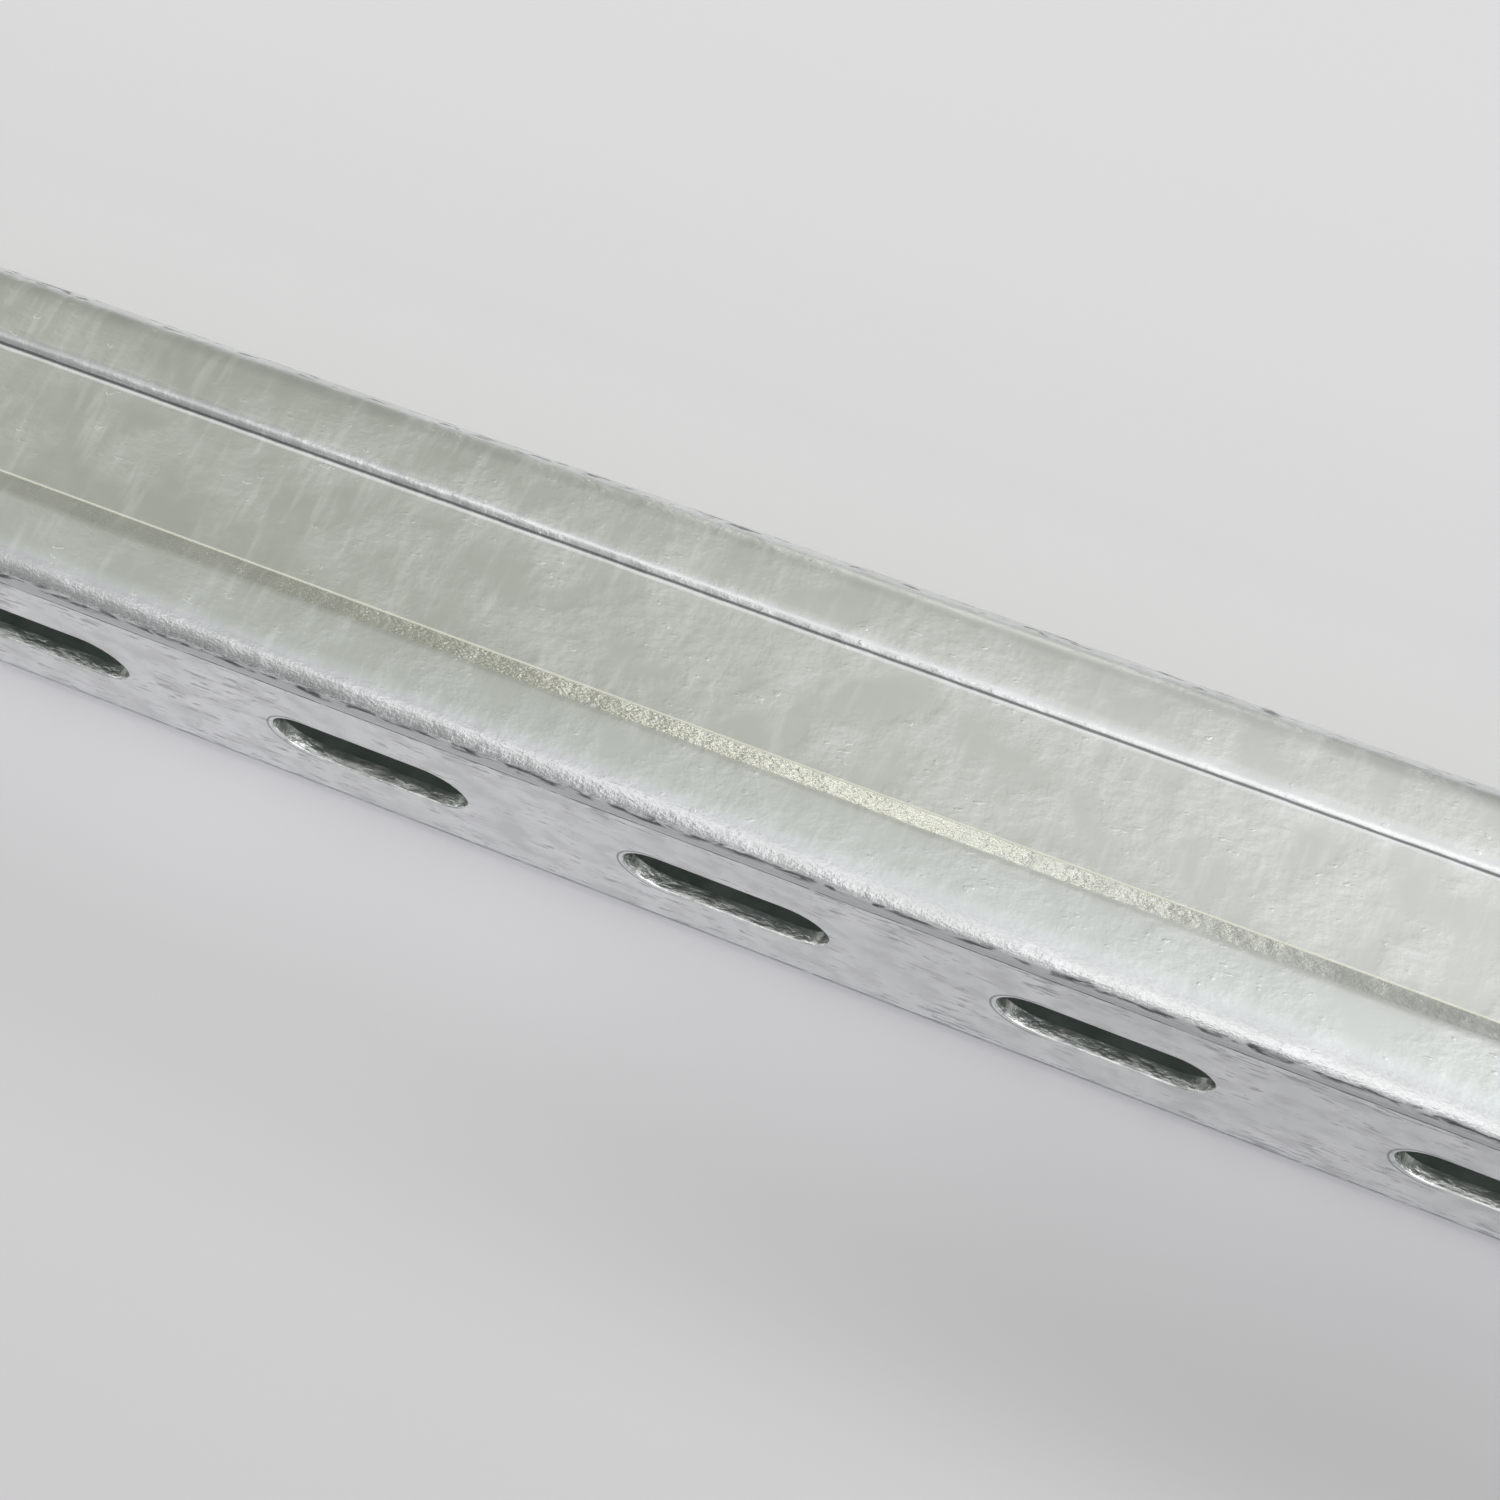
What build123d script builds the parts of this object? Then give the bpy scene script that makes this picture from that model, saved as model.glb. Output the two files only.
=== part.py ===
"""Slotted strut channel: one length of cold-rolled, galvanised steel C section.

The channel lies on one side wall. Its slotted web stands at the front (-Y), its open, lipped side
faces the back (+Y), and its length runs along X. Each side wall has one stiffening band, rolled
inwards along the whole length. Sizes are in millimetres, and the origin is the middle of the
underside.
"""

import os
from math import cos, radians, sin

from build123d import *

# Stock
channel_length = 1000.0
section_height = 41.0  # across the two side walls
section_depth = 41.0  # from the web's face to the open side
sheet = 2.0  # thickness of the steel
bend_inside = 2.5  # inside radius of the four corners of the section

# Lips along the open side
lip_flange = 9.5  # from a side wall's face to the opening, which leaves 22 mm clear between the lips
lip_depth = 7.5  # how far a lip reaches back in from the open side
lip_bend_inside = 1.2  # inside radius of the tighter bend where a lip turns in

# Stiffening band in each side wall. Its ramp on the web's side is gentle, the other one is steep.
band_start = 13.2  # from the web's face to the near edge of the band's flat floor
band_width = 16.1  # flat floor only
band_recess = 1.5  # how far the floor lies below the wall's face
band_crease = 0.4  # radius of the sharp crease along each edge of the floor
band_shoulder_inside = 0.3  # inside radius where the wall turns down into the band
web_side_slope = 27.0  # degrees, the ramp nearer the web
open_side_slope = 55.0  # degrees, the ramp nearer the open side

# Slots punched in the web
slot_length = 28.0
slot_width = 11.0
slot_pitch = 50.0
slot_rim_break = 0.3  # bevel round the outer rim, where the punch drew the edge in

# Worked out from the sizes above
mid_height = section_height / 2
bend_outside = bend_inside + sheet
lip_bend_outside = lip_bend_inside + sheet
shoulder_outside = band_shoulder_inside + sheet
lip_height = mid_height - lip_flange
punch_stroke = 2 * sheet
slot_count = int(channel_length // slot_pitch)


def ramp_length(slope):
    """Straight part of a ramp: what the shoulder's arc and the crease's arc leave of the recess."""
    arcs_drop = (shoulder_outside + band_crease) * (1 - cos(radians(slope)))
    return (band_recess - arcs_drop) / sin(radians(slope))


def ramp_run(slope):
    """Width of a whole ramp, from the wall's flat strip to the floor of the band."""
    arcs_run = (shoulder_outside + band_crease) * sin(radians(slope))
    return arcs_run + ramp_length(slope) * cos(radians(slope))


far_strip_end = band_start + band_width + ramp_run(open_side_slope)

# The section is drawn from the middle of the web's face: its first axis is the depth, its second the
# height. The slots are laid out on the web's face itself.
end_plane = Plane((-channel_length / 2, -section_depth / 2, mid_height), x_dir=(0, 1, 0), z_dir=(1, 0, 0))
web_plane = Plane((0, -section_depth / 2, mid_height), x_dir=(1, 0, 0), z_dir=(0, -1, 0))

with BuildPart() as strut_channel:
    with BuildSketch(end_plane):
        # Outer face of the sheet, from the tip of the upper lip round to the middle of the web
        with BuildLine():
            lip = Line((section_depth - lip_depth, lip_height), (section_depth - lip_bend_outside, lip_height))
            lip_bend = JernArc(lip @ 1, lip % 1, lip_bend_outside, 90)
            flange = Line(lip_bend @ 1, (section_depth, mid_height - bend_outside))
            open_bend = JernArc(flange @ 1, flange % 1, bend_outside, 90)
            far_strip = Line(open_bend @ 1, (far_strip_end, mid_height))
            far_shoulder = JernArc(far_strip @ 1, far_strip % 1, shoulder_outside, open_side_slope)
            far_ramp = PolarLine(far_shoulder @ 1, ramp_length(open_side_slope), direction=far_shoulder % 1)
            far_crease = JernArc(far_ramp @ 1, far_ramp % 1, band_crease, -open_side_slope)
            band_floor = PolarLine(far_crease @ 1, band_width, direction=far_crease % 1)
            near_crease = JernArc(band_floor @ 1, band_floor % 1, band_crease, -web_side_slope)
            near_ramp = PolarLine(near_crease @ 1, ramp_length(web_side_slope), direction=near_crease % 1)
            near_shoulder = JernArc(near_ramp @ 1, near_ramp % 1, shoulder_outside, web_side_slope)
            near_strip = Line(near_shoulder @ 1, (bend_outside, mid_height))
            web_bend = JernArc(near_strip @ 1, near_strip % 1, bend_outside, 90)
            Line(web_bend @ 1, (0, 0))
            mirror(about=Plane.XZ)
            offset(amount=sheet, side=Side.LEFT)
        make_face()
    extrude(amount=channel_length)

    with BuildSketch(web_plane):
        with GridLocations(slot_pitch, 0, slot_count, 1):
            SlotOverall(slot_length, slot_width)
    extrude(amount=-punch_stroke, mode=Mode.SUBTRACT)
    web_face = strut_channel.faces().sort_by(Axis.Y)[0]
    chamfer([edge for rim in web_face.inner_wires() for edge in rim.edges()], slot_rim_break)

strut_channel.part.label = "strut_channel"
os.makedirs("parts", exist_ok=True)
export_step(strut_channel.part, "parts/strut_channel.step")
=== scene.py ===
"""Dressed model of the slotted strut channel: a length of cold-rolled, galvanised steel C section.

The sheet is drawn as one line round the section, as the rolls form it, run out along the channel, pierced
by its row of slots and given its thickness. Everything is in metres in the part's own frame.
"""
from math import cos, pi, radians, sin

import bmesh
import bpy
from mathutils import Matrix, Vector


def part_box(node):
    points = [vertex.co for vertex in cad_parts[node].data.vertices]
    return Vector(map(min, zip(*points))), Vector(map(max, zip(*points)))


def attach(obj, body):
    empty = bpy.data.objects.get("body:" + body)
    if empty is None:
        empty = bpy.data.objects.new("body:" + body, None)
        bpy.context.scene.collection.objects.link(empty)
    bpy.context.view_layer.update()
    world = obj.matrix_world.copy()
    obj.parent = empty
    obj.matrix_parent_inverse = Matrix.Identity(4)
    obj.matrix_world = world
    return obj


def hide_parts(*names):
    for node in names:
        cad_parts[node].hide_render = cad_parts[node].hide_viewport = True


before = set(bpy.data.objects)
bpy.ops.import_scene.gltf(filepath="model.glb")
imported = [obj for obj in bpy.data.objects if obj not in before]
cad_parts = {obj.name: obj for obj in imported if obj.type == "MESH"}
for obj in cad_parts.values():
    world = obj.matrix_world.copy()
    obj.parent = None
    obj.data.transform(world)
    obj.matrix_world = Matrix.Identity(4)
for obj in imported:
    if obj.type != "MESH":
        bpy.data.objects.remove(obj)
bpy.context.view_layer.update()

channel_low, channel_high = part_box("strut_channel")
MM = 0.001
TINY = 0.01 * MM

# Sizes of the section, as in the part's source
section_depth = channel_high.y - channel_low.y
section_height = channel_high.z - channel_low.z
channel_length = channel_high.x - channel_low.x
sheet = 2.0 * MM
bend_outside = 4.5 * MM
# The bend beside the web is fuller where it leaves the side wall, and tighter after it has turned this far
upper_bend = 5.5 * MM
lower_bend = 3.0 * MM
bend_change = radians(55)
lip_bend_outside = 3.2 * MM
lip_flange = 9.5 * MM
lip_depth = 7.5 * MM
band_start = 13.2 * MM
band_width = 16.1 * MM
band_recess = 1.5 * MM
band_crease = 0.4 * MM
band_hollow = 0.04 * MM
shoulder_outside = 2.3 * MM
web_side_slope = radians(27)
open_side_slope = radians(55)
slot_length = 28.0 * MM
slot_width = 11.0 * MM
slot_pitch = 50.0 * MM
slot_rim_break = 0.3 * MM
slot_count = round(channel_length / slot_pitch)
mid_height = section_height / 2

# How finely the sheet is divided
slices = 16  # along one pitch
web_rows = 8  # up the flat of the web
slot_straight_parts = 8
slot_end_parts = 16
slot_rings = 3  # of new edges between a slot and the outline of the web's flat
rim_parts = 3  # across a slot's broken rim

ALONG = Vector((1, 0, 0))
DEEPER = Vector((0, 1, 0))

# How faces and edges are told apart
wall_lean = 0.3  # the most of a slot wall's normal that points across the web
end_lean = 0.9  # the least of a cut end's normal that points along the channel
sharp_edge = radians(40)  # the least turn between two faces whose shading is kept apart


def srgb(code):
    """Linear colour of an sRGB hex value."""
    channels = [int(code[i:i + 2], 16) / 255 for i in (0, 2, 4)]
    return [c / 12.92 if c <= 0.04045 else ((c + 0.055) / 1.055) ** 2.4 for c in channels] + [1.0]


def add(tree, kind, links=None, stops=(), **settings):
    """Add a node. Links give its sockets a value or another node's output, stops are a ramp's colours."""
    node = tree.nodes.new("ShaderNode" + kind)
    for name, value in settings.items():
        setattr(node, name, value)
    for name, value in (links or {}).items():
        if isinstance(value, bpy.types.NodeSocket):
            tree.links.new(value, node.inputs[name])
        else:
            node.inputs[name].default_value = value
    for place, (position, colour) in enumerate(stops):
        ramp = node.color_ramp.elements
        stop = ramp[place] if place < 2 else ramp.new(position)
        stop.position = position
        stop.color = colour
    return node


# ---------------------------------------------------------------- the rolled sheet


class RolledLine:
    """The sheet's outer line across the section. It is carried on from its tip in straight runs and bends,
    and each one's start and end along the line are kept under its name. The attribute "girth" tells how far
    along the line a place is, in millimetres from a lip's tip."""

    def __init__(self, mesh, start, heading):
        self.mesh = mesh
        self.girth = mesh.verts.layers.float.new("girth")
        self.tip = mesh.verts.new(start)
        self.heading = heading
        self.drawn = 0.0
        self.marks = {}

    def straight(self, name, run, parts=1, hollow=0.0):
        """Carry the line straight on. A hollow makes the run sag inwards by that much in its middle."""
        start = self.tip.co.copy()
        inward = ALONG.cross(self.heading)
        for part in range(1, parts + 1):
            share = part / parts
            place = start + self.heading * (run * share) + inward * (4 * hollow * share * (1 - share))
            self.tip = bmesh.ops.extrude_vert_indiv(self.mesh, verts=[self.tip])["verts"][0]
            bmesh.ops.translate(self.mesh, verts=[self.tip], vec=place - self.tip.co)
            self.tip[self.girth] = (self.drawn + run * share) / MM
        self.note(name, run)

    def bend(self, name, radius, angle, parts):
        """Carry the line round a bend. Positive angles turn towards the sheet's inner side."""
        side = ALONG.cross(self.heading) * (radius if angle > 0 else -radius)
        before = len(self.mesh.verts)
        made = bmesh.ops.spin(self.mesh, geom=[self.tip], cent=self.tip.co + side, axis=ALONG, angle=angle,
                              steps=parts)
        self.tip = made["geom_last"][0]
        self.mesh.verts.ensure_lookup_table()
        run = radius * abs(angle)
        for part, vert in enumerate(self.mesh.verts[before:], 1):
            vert[self.girth] = (self.drawn + run * part / parts) / MM
        self.heading = Matrix.Rotation(angle, 3, "X") @ self.heading
        self.note(name, run)

    def note(self, name, run):
        """Keep where the stretch just drawn starts and ends along the line, in millimetres."""
        self.marks[name] = (self.drawn / MM, (self.drawn + run) / MM)
        self.drawn += run


def ramp_length(slope):
    """Straight part of a band's ramp: what its two arcs leave of the recess."""
    return (band_recess - (shoulder_outside + band_crease) * (1 - cos(slope))) / sin(slope)


def ramp_run(slope):
    """Width of a whole ramp, from the wall's flat strip to the floor of the band."""
    return (shoulder_outside + band_crease) * sin(slope) + ramp_length(slope) * cos(slope)


def draw_upper_half(mesh):
    """Draw from the tip of the upper lip round to where the web's flat begins. Heights are from mid height.
    A stretch's last whole number is how many parts it is drawn in. Returns where each one starts and ends."""
    line = RolledLine(mesh, (0, section_depth - lip_depth, mid_height - lip_flange), DEEPER)
    line.straight("lip", lip_depth - lip_bend_outside, 2)
    line.bend("lip bend", lip_bend_outside, pi / 2, 6)
    line.straight("lip face", lip_flange - lip_bend_outside - bend_outside)
    line.bend("open bend", bend_outside, pi / 2, 10)
    far_strip_end = band_start + band_width + ramp_run(open_side_slope)
    line.straight("far strip", section_depth - bend_outside - far_strip_end)
    line.bend("far shoulder", shoulder_outside, open_side_slope, 6)
    line.straight("far ramp", ramp_length(open_side_slope))
    line.bend("far crease", band_crease, -open_side_slope, 4)
    line.straight("band", band_width, 6, band_hollow)
    line.bend("near crease", band_crease, -web_side_slope, 3)
    line.straight("near ramp", ramp_length(web_side_slope), 2)
    line.bend("near shoulder", shoulder_outside, web_side_slope, 4)
    web_bend_run = upper_bend * sin(bend_change) + lower_bend * (1 - sin(bend_change))
    line.straight("near strip", band_start - ramp_run(web_side_slope) - web_bend_run)
    line.bend("upper bend", upper_bend, bend_change, 6)
    line.bend("lower bend", lower_bend, pi / 2 - bend_change, 5)
    return line.marks


def whole(mesh):
    """All that a mesh holds."""
    return mesh.verts[:] + mesh.edges[:] + mesh.faces[:]


def on_web_face(vert):
    return abs(vert.co.y) < TINY


def run_down(mesh, tip, step, parts):
    """Extrude a vertex in equal steps, and return the last one."""
    for _ in range(parts):
        tip = bmesh.ops.extrude_vert_indiv(mesh, verts=[tip])["verts"][0]
        bmesh.ops.translate(mesh, verts=[tip], vec=step)
    return tip


def draw_slot(mesh):
    """Wire round one slot: two straight sides and two round ends."""
    reach = (slot_length - slot_width) / 2
    centre = Vector((slot_pitch / 2, 0, 0))
    first = mesh.verts.new(centre + Vector((-reach, 0, slot_width / 2)))
    tip = first
    for side in (1, -1):
        tip = run_down(mesh, tip, ALONG * (2 * reach * side / slot_straight_parts), slot_straight_parts)
        made = bmesh.ops.spin(mesh, geom=[tip], cent=centre + ALONG * (reach * side), axis=DEEPER, angle=pi,
                              steps=slot_end_parts)
        tip = made["geom_last"][0]
    bmesh.ops.pointmerge(mesh, verts=[first, tip], merge_co=first.co)


def make_pitch(mesh):
    """One pitch of the sheet's outer face, with its slot, as a surface without thickness. Returns where the
    stretches of its line start and end."""
    marks = draw_upper_half(mesh)
    bmesh.ops.spin(mesh, geom=whole(mesh), cent=(0, 0, 0), axis=ALONG, angle=0,
                   dvec=ALONG * (slot_pitch / slices), steps=slices)
    bmesh.ops.mirror(mesh, geom=whole(mesh), matrix=Matrix(), merge_dist=0, axis="Z")
    web_edge = max(vert.co.z for vert in mesh.verts if on_web_face(vert))
    corners = [vert for vert in mesh.verts if on_web_face(vert) and vert.co.z > 0
               and min(vert.co.x, slot_pitch - vert.co.x) < TINY]
    for corner in corners:
        run_down(mesh, corner, Vector((0, 0, -2 * web_edge / web_rows)), web_rows)
    draw_slot(mesh)
    bmesh.ops.remove_doubles(mesh, verts=mesh.verts[:], dist=TINY)
    loops = [edge for edge in mesh.edges if all(map(on_web_face, edge.verts))]
    spokes = bmesh.ops.bridge_loops(mesh, edges=loops)["edges"]
    bmesh.ops.subdivide_edges(mesh, edges=spokes, cuts=slot_rings, use_grid_fill=True)
    girth = mesh.verts.layers.float["girth"]
    for vert in mesh.verts:
        if on_web_face(vert):
            vert[girth] = marks["lower bend"][1] + (web_edge - abs(vert.co.z)) / MM
    return marks


def thicken(mesh):
    """Give the sheet its thickness. Its inner faces take the second material."""
    outer = set(mesh.faces)
    bmesh.ops.solidify(mesh, geom=mesh.faces[:], thickness=sheet)
    for face in mesh.faces:
        face.material_index = 0 if face in outer else 1


def punch_slots(mesh):
    """Break the slots' outer rims. The sheared faces, which are the slots' walls and the channel's cut ends,
    take the third material."""
    walls = []
    for face in mesh.faces:
        middle = face.calc_center_median()
        in_slot = 0 < middle.y < sheet and abs(middle.z) < slot_width / 2 + TINY
        if in_slot and abs(face.normal.y) < wall_lean:
            walls.append(face)
            face.material_index = 2
    rims = [edge for face in walls for edge in face.edges if all(map(on_web_face, edge.verts))]
    bmesh.ops.bevel(mesh, geom=rims, offset=slot_rim_break, offset_type="OFFSET", affect="EDGES",
                    segments=rim_parts, profile=0.5, material=-1)
    for face in mesh.faces:
        if abs(face.normal.x) > end_lean and len({round(vert.co.x, 5) for vert in face.verts}) == 1:
            face.material_index = 2


def make_channel():
    """The whole channel: the pitches are joined end to end and given their thickness, and the rims of their
    slots are broken."""
    mesh = bmesh.new()
    marks = make_pitch(mesh)
    bmesh.ops.spin(mesh, geom=whole(mesh), cent=(0, 0, 0), axis=ALONG, angle=0, dvec=ALONG * slot_pitch,
                   steps=slot_count - 1, use_duplicate=True)
    bmesh.ops.remove_doubles(mesh, verts=mesh.verts[:], dist=TINY)
    bmesh.ops.recalc_face_normals(mesh, faces=mesh.faces[:])
    front = min(mesh.faces, key=lambda face: face.calc_center_median().y)
    if front.normal.y > 0:
        bmesh.ops.reverse_faces(mesh, faces=mesh.faces[:])
    thicken(mesh)
    punch_slots(mesh)
    into_place = (channel_low.x, channel_low.y, channel_low.z + mid_height)
    bmesh.ops.translate(mesh, verts=mesh.verts[:], vec=into_place)
    channel = finish_piece("channel", mesh, [galvanised_steel(marks), shaded_inside(), sheared_steel()])
    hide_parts("strut_channel")


def finish_piece(name, mesh, materials):
    """Store a mesh as a piece of the channel, smooth but for its sharp edges."""
    for face in mesh.faces:
        face.smooth = True
    for edge in mesh.edges:
        edge.smooth = len(edge.link_faces) == 2 and edge.calc_face_angle() < sharp_edge
    data = bpy.data.meshes.new(name)
    mesh.to_mesh(data)
    mesh.free()
    for material in materials:
        data.materials.append(material)
    piece = bpy.data.objects.new(name, data)
    bpy.context.scene.collection.objects.link(piece)
    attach(piece, "root")
    return piece


# ---------------------------------------------------------------- materials


def new_material(name):
    material = bpy.data.materials.new(name)
    material.use_nodes = True
    material.node_tree.nodes.clear()
    return material, material.node_tree


def finish_metal(tree, colour, roughness, height=None):
    """Bare metal of this colour and roughness, with its relief in millimetres if it has one."""
    links = {"Base Color": colour, "Metallic": 1.0, "Roughness": roughness}
    if height is not None:
        bump = add(tree, "Bump", {"Height": height, "Distance": MM, "Strength": 1.0})
        links["Normal"] = bump.outputs["Normal"]
    shader = add(tree, "BsdfPrincipled", links)
    add(tree, "OutputMaterial", {"Surface": shader.outputs["BSDF"]})


def grain(tree, place, size, detail=2.0, stretch=(1, 1, 1), distortion=0.0):
    """Noise whose grains are about so many millimetres across, times the stretch along each axis."""
    scale = [1 / (size * MM * s) for s in stretch]
    scaled = add(tree, "VectorMath", {0: place, 1: scale}, operation="MULTIPLY")
    links = {"Vector": scaled.outputs[0], "Scale": 1.0, "Detail": detail, "Distortion": distortion}
    return add(tree, "TexNoise", links).outputs["Fac"]


def between(tree, value, low, high, to_low=0.0, to_high=1.0):
    """The value's place between low and high, smoothly from one result to the other and held outside."""
    links = {"Value": value, "From Min": low, "From Max": high, "To Min": to_low, "To Max": to_high}
    return add(tree, "MapRange", links, interpolation_type="SMOOTHSTEP").outputs["Result"]


def maths(tree, operation, a, b):
    return add(tree, "Math", {0: a, 1: b}, operation=operation).outputs[0]


def both(tree, a, b):
    """The share that two shares have in common."""
    return maths(tree, "MULTIPLY", a, b)


def zone(tree, value, start, end, soft=0.1):
    """One from start to end and nothing outside, with edges as soft as told."""
    rise = between(tree, value, start - soft, start + soft)
    fall = between(tree, value, end - soft, end + soft, 1, 0)
    return both(tree, rise, fall)


def total(tree, start, terms):
    """Start with a level and add each pattern times its weight, and times its zone if it has one."""
    for pattern, weight, *zones in terms:
        term = maths(tree, "MULTIPLY", pattern, weight)
        for limit in zones:
            term = maths(tree, "MULTIPLY", term, limit)
        start = maths(tree, "ADD", start, term)
    return start


def mix(tree, share, first, second, **settings):
    """From the first colour to the second, by the share."""
    return add(tree, "MixRGB", {"Fac": share, "Color1": first, "Color2": second}, **settings).outputs["Color"]


def colour_ramp(tree, share, stops):
    """Colour at the share's place along a row of stops. A new ramp has its first and last stop already."""
    return add(tree, "ValToRGB", {"Fac": share}, stops=[stops[0], stops[-1]] + stops[1:-1]).outputs["Color"]


def lay_over(tree, colour, layers):
    """Lay other colours over this one in turn. Each layer has its share, its colour and its strength."""
    for share, code, strength in layers:
        colour = mix(tree, maths(tree, "MULTIPLY", share, strength), colour, srgb(code))
    return colour


def slot_marks(tree, place):
    """The curved line that the punch pressed into the web a little outside one end of each slot."""
    axes = add(tree, "SeparateXYZ", {"Vector": place}).outputs
    along = maths(tree, "SUBTRACT", axes["X"], channel_low.x)
    along = maths(tree, "SUBTRACT", maths(tree, "MODULO", along, slot_pitch), slot_pitch / 2)
    up = maths(tree, "SUBTRACT", axes["Z"], channel_low.z + mid_height)
    beyond = maths(tree, "SUBTRACT", maths(tree, "ABSOLUTE", along, 0), (slot_length - slot_width) / 2)
    beyond = maths(tree, "MAXIMUM", beyond, 0.0)
    squares = maths(tree, "ADD", maths(tree, "MULTIPLY", beyond, beyond), maths(tree, "MULTIPLY", up, up))
    away = maths(tree, "DIVIDE", maths(tree, "SUBTRACT", maths(tree, "SQRT", squares, 0), slot_width / 2), MM)
    line = zone(tree, away, 0.55, 0.8, 0.12)
    one_end = between(tree, along, -5 * MM, -10 * MM)
    return both(tree, line, one_end)


def grain_and_glint_stretch(tree, place):
    """How strongly the ramp's bright grains show along the channel: wholly over one stretch, whose ends are
    broken up themselves, and a little elsewhere. Over that stretch the bright, warm grains are also a painted
    highlight."""
    lengthwise = add(tree, "SeparateXYZ", {"Vector": place}).outputs["X"]
    coarse = maths(tree, "SUBTRACT", grain(tree, place, 5, 5), 0.5)
    wandering = maths(tree, "ADD", lengthwise, maths(tree, "MULTIPLY", coarse, 0.12))
    return total(tree, 0.3, [(zone(tree, wandering, -0.085, 0.02, 0.03), 0.7)])


def rolled_zones(tree, place, marks):
    """Where the rolls bent, stretched or creased the sheet, by the millimetres along its line. Several zones
    only place painted light and shade: the sheen before the bend, the highlight on the near crease, the shade
    in the far crease and on the lower bend, and, among scuffs, the dark reflection at the bend's foot. The
    edges of the zones wander: much where they go by the ragged line, and little where they go by the wavy one."""
    girth = add(tree, "Attribute", attribute_name="girth").outputs["Fac"]
    wander = maths(tree, "SUBTRACT", grain(tree, place, 1.0, 4, (5, 1, 1)), 0.5)
    ragged = maths(tree, "ADD", girth, maths(tree, "MULTIPLY", wander, 1.6))
    wavy = maths(tree, "ADD", girth, maths(tree, "MULTIPLY", wander, 0.25))
    open_bend = marks["open bend"][0]
    shoulder, shoulder_end = marks["far shoulder"]
    far_crease, far_crease_end = marks["far crease"]
    near_crease, near_crease_end = marks["near crease"]
    near_ramp, near_ramp_end = marks["near ramp"]
    strip = marks["near strip"][0]
    bend, turn = marks["upper bend"]
    web = marks["lower bend"][1]
    whole_ramp = zone(tree, wavy, near_ramp, near_ramp_end + 0.3, 0.25)
    return {
        "far edge": zone(tree, ragged, open_bend + 1, open_bend + 4, 0.5),
        "far shoulder": zone(tree, ragged, shoulder + 0.5, shoulder_end, 0.4),
        # painted shade: the far crease is painted dark
        "in far crease": zone(tree, wavy, shoulder_end + 0.02, far_crease, 0.1),
        "past far crease": zone(tree, wavy, far_crease + 0.15, far_crease_end + 0.1, 0.1),
        # painted highlight: a bright line along the near crease
        "near crease": zone(tree, girth, near_crease - 0.1, near_crease_end, 0.08),
        # bright grains on the ramp; over one stretch they are also a painted warm highlight
        "near ramp": both(tree, whole_ramp, grain_and_glint_stretch(tree, place)),
        # painted sheen: a lighter, bluer strip up to the bend
        "sheen before bend": zone(tree, ragged, strip + 0.4, bend + 2.5, 0.8),
        "bend": zone(tree, ragged, bend + 2.2, turn + 0.2, 0.9),
        # dark dashes at the bend's foot: partly scuffs, partly a painted dark reflection
        "foot": zone(tree, ragged, turn - 0.05, turn + 0.55, 0.3),
        # painted shade: the lower bend is painted a darker grey
        "shade under bend": zone(tree, wavy, turn + 0.1, web + 0.2, 0.15),
        "score": zone(tree, wavy, web + 0.15, web + 0.5, 0.08),
        "web": between(tree, girth, web - 0.2, web + 0.4),
        "web edge": zone(tree, girth, web, web + 3, 1.5),
    }


def zinc_relief(tree, place, zones, crust, patches):
    """Ripples and ticks in patches of the flats, and grains and fibres where the zinc was broken."""
    fine = grain(tree, place, 0.35)
    peel = grain(tree, place, 1.3, 3, (1.5, 1, 1))
    fibres = grain(tree, place, 0.25, 3, (1, 4, 4))
    ticks = between(tree, grain(tree, place, 0.8, 1, (2.0, 1, 1)), 0.68, 0.76)
    rippled = between(tree, patches, 0.38, 0.62)
    return total(tree, 0.0, [
        (fine, 0.003),
        (peel, 0.09, rippled),
        (crust, 0.07, zones["near ramp"]),
        (crust, 0.045, zones["bend"]),
        (fibres, 0.015, zones["bend"]),
        (crust, 0.015, zones["far shoulder"]),
        (ticks, 0.03, rippled),
    ])


def zinc_layers(tree, zones, crust, streaks):
    """Colours of the zinc itself, with painted light among them: light streaks, a painted sheen before the
    bend, bright grains that over one stretch of the ramp are a painted warm highlight, pores, and painted
    shade on the lower bend.
    """
    return [
        (streaks, "f6f8f9", 0.35),
        # painted sheen: a lighter, bluer strip before the bend
        (zones["sheen before bend"], "ecf1f4", 0.6),
        # bright warm grains, over one stretch of the ramp also a painted highlight
        (both(tree, zones["near ramp"], between(tree, crust, 0.3, 0.6)), "f9f8f0", 1.0),
        (both(tree, zones["bend"], between(tree, crust, 0.55, 0.4)), "c9ced0", 0.3),
        # painted shade: a darker grey over the lower bend
        (zones["shade under bend"], "c8cbcc", 1.0),
    ]


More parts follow.
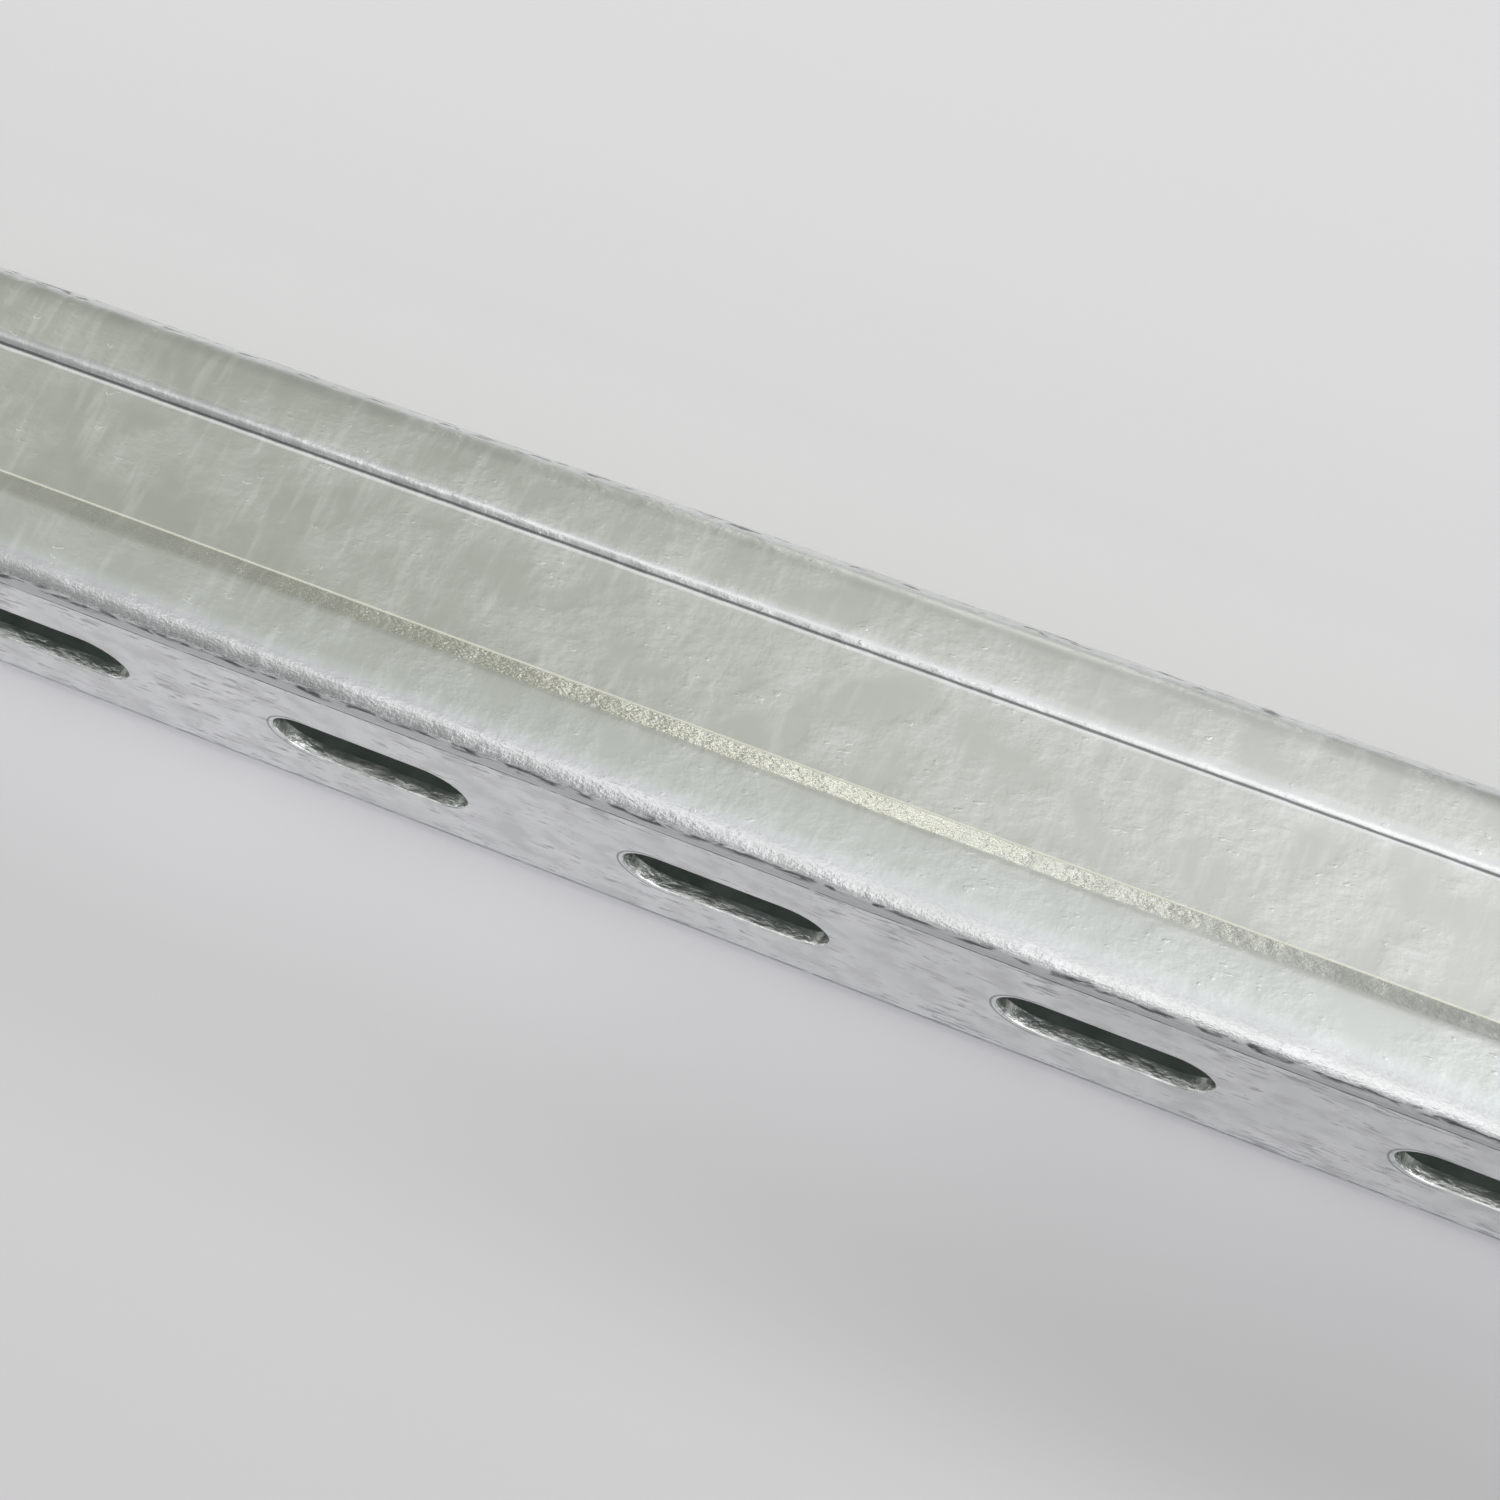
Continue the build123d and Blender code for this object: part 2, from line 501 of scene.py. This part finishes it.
def grime_and_painted_light_layers(tree, place, zones, patches):
    """What lies on the zinc, and painted shade and highlight over it: dark dashes at the bend's foot, partly
    scuffs and partly a painted dark reflection, grime in a score beside the web, painted shade in the far
    crease, grime on the web and along the far edge, dull blotches and the punch's line. A painted highlight on
    the near crease lies over it all."""
    dashes = grain(tree, place, 0.7, 5, (4.5, 1, 1), distortion=0.6)
    soiled = total(tree, dashes, [(patches, 0.5), (zones["web edge"], 0.06)])
    blotches = between(tree, grain(tree, place, 4.0, 6, (1.2, 1, 1)), 0.42, 0.66)
    return [
        # dark dashes at the bend's foot: partly scuffs, partly a painted dark reflection
        (both(tree, zones["foot"], between(tree, dashes, 0.42, 0.58)), "54585a", 0.95),
        (both(tree, zones["score"], between(tree, dashes, 0.3, 0.46)), "44494c", 0.95),
        # painted shade in the far crease
        (zones["in far crease"], "4a4e50", 0.75),
        (both(tree, zones["web"], between(tree, soiled, 0.84, 0.97)), "7b7e80", 0.6),
        (both(tree, zones["web"], blotches), "c6c7c6", 0.5),
        (both(tree, zones["web"], slot_marks(tree, place)), "5a6064", 0.8),
        (both(tree, zones["far edge"], between(tree, dashes, 0.53, 0.65)), "4c5055", 0.75),
        # painted highlight along the near crease
        (zones["near crease"], "f8f7ee", 1.0),
    ]


def galvanised_steel(marks):
    """Galvanised strip, cold rolled. Its zinc reflects softly on the flats. Where the rolls bent or stretched
    it, its skin is burnished and broken into bright grains. Light and shade are also painted into its colour:
    a warm highlight on the near ramp, a sheen before the bend, a bright line on the near crease, shade in the
    far crease and on the lower bend, and a dark reflection among scuffs at the bend's foot."""
    material, tree = new_material("galvanised steel")
    place = add(tree, "TexCoord").outputs["Object"]
    zones = rolled_zones(tree, place, marks)
    crust = grain(tree, place, 0.32, 3, (2.0, 1, 1))
    streaks = between(tree, grain(tree, place, 1.3, 3, (1, 7, 7)), 0.5, 0.75)
    patches = grain(tree, place, 8, 5)
    colour = colour_ramp(tree, patches, [(0.35, srgb("e4e6e5")), (0.65, srgb("f0f1f2"))])
    colour = lay_over(tree, colour, zinc_layers(tree, zones, crust, streaks))
    colour = lay_over(tree, colour, grime_and_painted_light_layers(tree, place, zones, patches))
    roughness = total(tree, 0.27, [
        (patches, 0.08),
        (streaks, 0.06),
        (zones["near ramp"], -0.12),
        (zones["bend"], -0.13),
        (zones["far shoulder"], -0.14),
        (zones["past far crease"], 0.3),
        (zones["near crease"], 0.3),
        (zones["shade under bend"], -0.1),
    ])
    finish_metal(tree, colour, roughness, zinc_relief(tree, place, zones, crust, patches))
    return material


def shaded_inside():
    """The inner faces of the strip: a darker, greener zinc whose colour paints in the shade inside the
    channel.
    """
    material, tree = new_material("zinc inside painted for shade")
    place = add(tree, "TexCoord").outputs["Object"]
    patches = grain(tree, place, 5, 4)
    # painted shade: the inner faces are coloured darker than the outer zinc
    colour = colour_ramp(tree, patches, [(0.35, srgb("8f9995")), (0.65, srgb("a9b3ae"))])
    finish_metal(tree, colour, 0.4)
    return material


def sheared_steel():
    """Walls of the slots and the cut ends: rough, torn steel, with chips of zinc that catch the light."""
    material, tree = new_material("sheared steel")
    place = add(tree, "TexCoord").outputs["Object"]
    chips = grain(tree, place, 0.9, 4, (2.2, 1, 1))
    scores = grain(tree, place, 0.35, 2, (1, 5, 1))
    colour = colour_ramp(tree, chips, [(0.36, srgb("c4c9c7")), (0.6, srgb("f6f7f6"))])
    finish_metal(tree, colour, 0.25, total(tree, 0.0, [(chips, 0.13), (scores, 0.04)]))
    return material


# Tone of the floor by its distance behind the origin, in millimetres
FLOOR_TONES = ((-120, .635), (-80, .66), (-60, .635), (-48, .65), (-40, .69), (-30, .76), (-22, .80),
               (38, .93), (45, .87), (57, .80), (75, .775), (105, .77), (150, .768))
FLOOR_TINT = (1.01, 0.995, 1.035)
FLOOR_DIMMED = (.82, .82, .82, 1)
floor_reach = 20.0


def studio_floor():
    """Matt, pale grey studio floor. A broad pool of light lies along the channel, and it dims towards the
    front right."""
    material, tree = new_material("matt floor")
    axes = add(tree, "SeparateXYZ", {"Vector": add(tree, "TexCoord").outputs["Object"]}).outputs
    first, last = FLOOR_TONES[0][0], FLOOR_TONES[-1][0]
    stops = []
    for distance, tone in FLOOR_TONES:
        stops.append(((distance - first) / (last - first), [tone * part for part in FLOOR_TINT] + [1]))
    share = add(tree, "MapRange", {"Value": axes["Y"], "From Min": first * MM, "From Max": last * MM})
    colour = colour_ramp(tree, share.outputs["Result"], stops)
    rightwards = between(tree, axes["X"], -0.09, 0.07)
    in_front = zone(tree, axes["Y"], -0.064, -0.021, 0.013)
    colour = mix(tree, both(tree, rightwards, in_front), colour, FLOOR_DIMMED, blend_type="MULTIPLY")
    shader = add(tree, "BsdfPrincipled", {"Base Color": colour, "Roughness": 0.9, "Specular IOR Level": 0.1})
    add(tree, "OutputMaterial", {"Surface": shader.outputs["BSDF"]})
    return material


# ---------------------------------------------------------------- studio


def make_floor():
    """A wide floor that the channel lies on."""
    mesh = bmesh.new()
    bmesh.ops.create_grid(mesh, x_segments=1, y_segments=1, size=floor_reach)
    data = bpy.data.meshes.new("floor")
    mesh.to_mesh(data)
    mesh.free()
    data.materials.append(studio_floor())
    floor = bpy.data.objects.new("floor", data)
    floor.location.z = channel_low.z
    bpy.context.scene.collection.objects.link(floor)


# Brightness of the studio, swept from the front horizon over the top to the back horizon, in degrees. One
# sweep for each slant of the light along the channel, from the left end to the right.
SKY_ANGLES = (0, 4, 10, 18, 28, 35, 40, 44, 50, 57, 68, 92, 109, 115, 135, 155, 160, 168, 173, 177, 180)
SKY = (
    (-0.95, (.10, .26, .36, .38, .50, .70, .85, 1.0, 1.2, 1.5, 1.7,
             1.8, 1.5, 1.3, .80, .50, .45, .40, .40, .2, .1)),
    (-0.60, (.10, .26, .36, .38, .38, .41, .50, .58, .60, .58, .54,
             .50, .50, .50, .50, .50, .50, .50, .50, .3, .1)),
    (-0.46, (.08, .18, .27, .34, .38, .42, .52, .62, .63, .56, .46,
             .37, .31, .28, .27, .25, .24, .24, .38, .2, .1)),
    (-0.32, (.08, .18, .30, .40, .46, .62, .95, 1.2, 1.1, .80, .64,
             .56, .51, .45, .37, .33, .31, .31, .44, .2, .1)),
    (-0.25, (.09, .24, .55, .70, .75, .85, 1.0, 1.1, 1.0, .84, .74,
             .68, .62, .55, .48, .50, .60, .60, .50, .2, .1)),
    (-0.17, (.12, .40, .93, 1.0, 1.03, .96, .90, .88, .86, .84, .80,
             .76, .70, .60, .53, 1.1, 2.1, 2.1, .80, .2, .1)),
    (-0.10, (.12, .45, 1.1, 1.2, 1.2, 1.1, .95, .89, .87, .86, .84,
             .80, .74, .64, .52, .50, .70, .65, .45, .2, .1)),
    (-0.04, (.12, .50, 1.2, 1.3, 1.25, 1.1, .96, .90, .87, .86, .86,
             .83, .77, .67, .50, .34, .24, .18, .28, .2, .1)),
    (0.10, (.12, .50, .93, 1.03, 1.05, .98, .91, .88, .88, .90, .92,
            .95, .95, .85, .66, .42, .28, .24, .35, .2, .1)),
    (0.60, (.12, .50, .93, 1.0, 1.1, 1.2, 1.3, 1.4, 1.6, 1.8, 2.1,
            2.1, 1.7, 1.5, 1.0, .75, .65, .60, .55, .2, .1)),
)
SKY_TOP = 2.2
OLIVE = (.975, 1, .87, 1)
BELOW_HORIZON = (.25, .25, .25, 1)


def light_studio():
    """A soft studio all round: bright in front and to the right, dimmer and olive overhead and behind, dark
    along the horizon, with a lit strip low behind."""
    world = bpy.data.worlds.new("studio")
    bpy.context.scene.world = world
    world.use_nodes = True
    tree = world.node_tree
    tree.nodes.clear()
    axes = add(tree, "SeparateXYZ", {"Vector": add(tree, "TexCoord").outputs["Generated"]}).outputs
    sweep = maths(tree, "ARCTAN2", axes["Z"], maths(tree, "MULTIPLY", axes["Y"], -1.0))
    sweep = maths(tree, "DIVIDE", sweep, pi)
    sky, before = None, None
    for slant, levels in SKY:
        stops = [(angle / 180, [level / SKY_TOP] * 3 + [1]) for angle, level in zip(SKY_ANGLES, levels)]
        band = colour_ramp(tree, sweep, stops)
        if sky is not None:
            share = add(tree, "MapRange", {"Value": axes["X"], "From Min": before, "From Max": slant})
            band = mix(tree, share.outputs["Result"], sky, band)
        sky, before = band, slant
    overhead = between(tree, sweep, 60 / 180, 105 / 180)
    to_left = between(tree, axes["X"], 0.0, -0.4, 0.3, 1)
    sky = mix(tree, both(tree, overhead, to_left), sky, OLIVE, blend_type="MULTIPLY")
    above = maths(tree, "GREATER_THAN", axes["Z"], 0.0)
    around = mix(tree, above, BELOW_HORIZON, sky)
    background = add(tree, "Background", {"Color": around, "Strength": SKY_TOP})
    add(tree, "OutputWorld", {"Surface": background.outputs[0]})


def make_camera():
    """Looks steeply down on the slotted web and the upper side wall, a little along the channel."""
    camera = bpy.data.objects.new("camera", bpy.data.cameras.new("camera"))
    camera.location = (0.0603, -0.12657, 0.36289)
    camera.rotation_euler = (radians(23.799), radians(5.332), radians(23.860))
    camera.data.lens = 71.38
    camera.data.clip_start = 0.01
    bpy.context.scene.collection.objects.link(camera)
    bpy.context.scene.camera = camera


bpy.context.scene.view_settings.view_transform = "Standard"
make_camera()
make_channel()
make_floor()
light_studio()
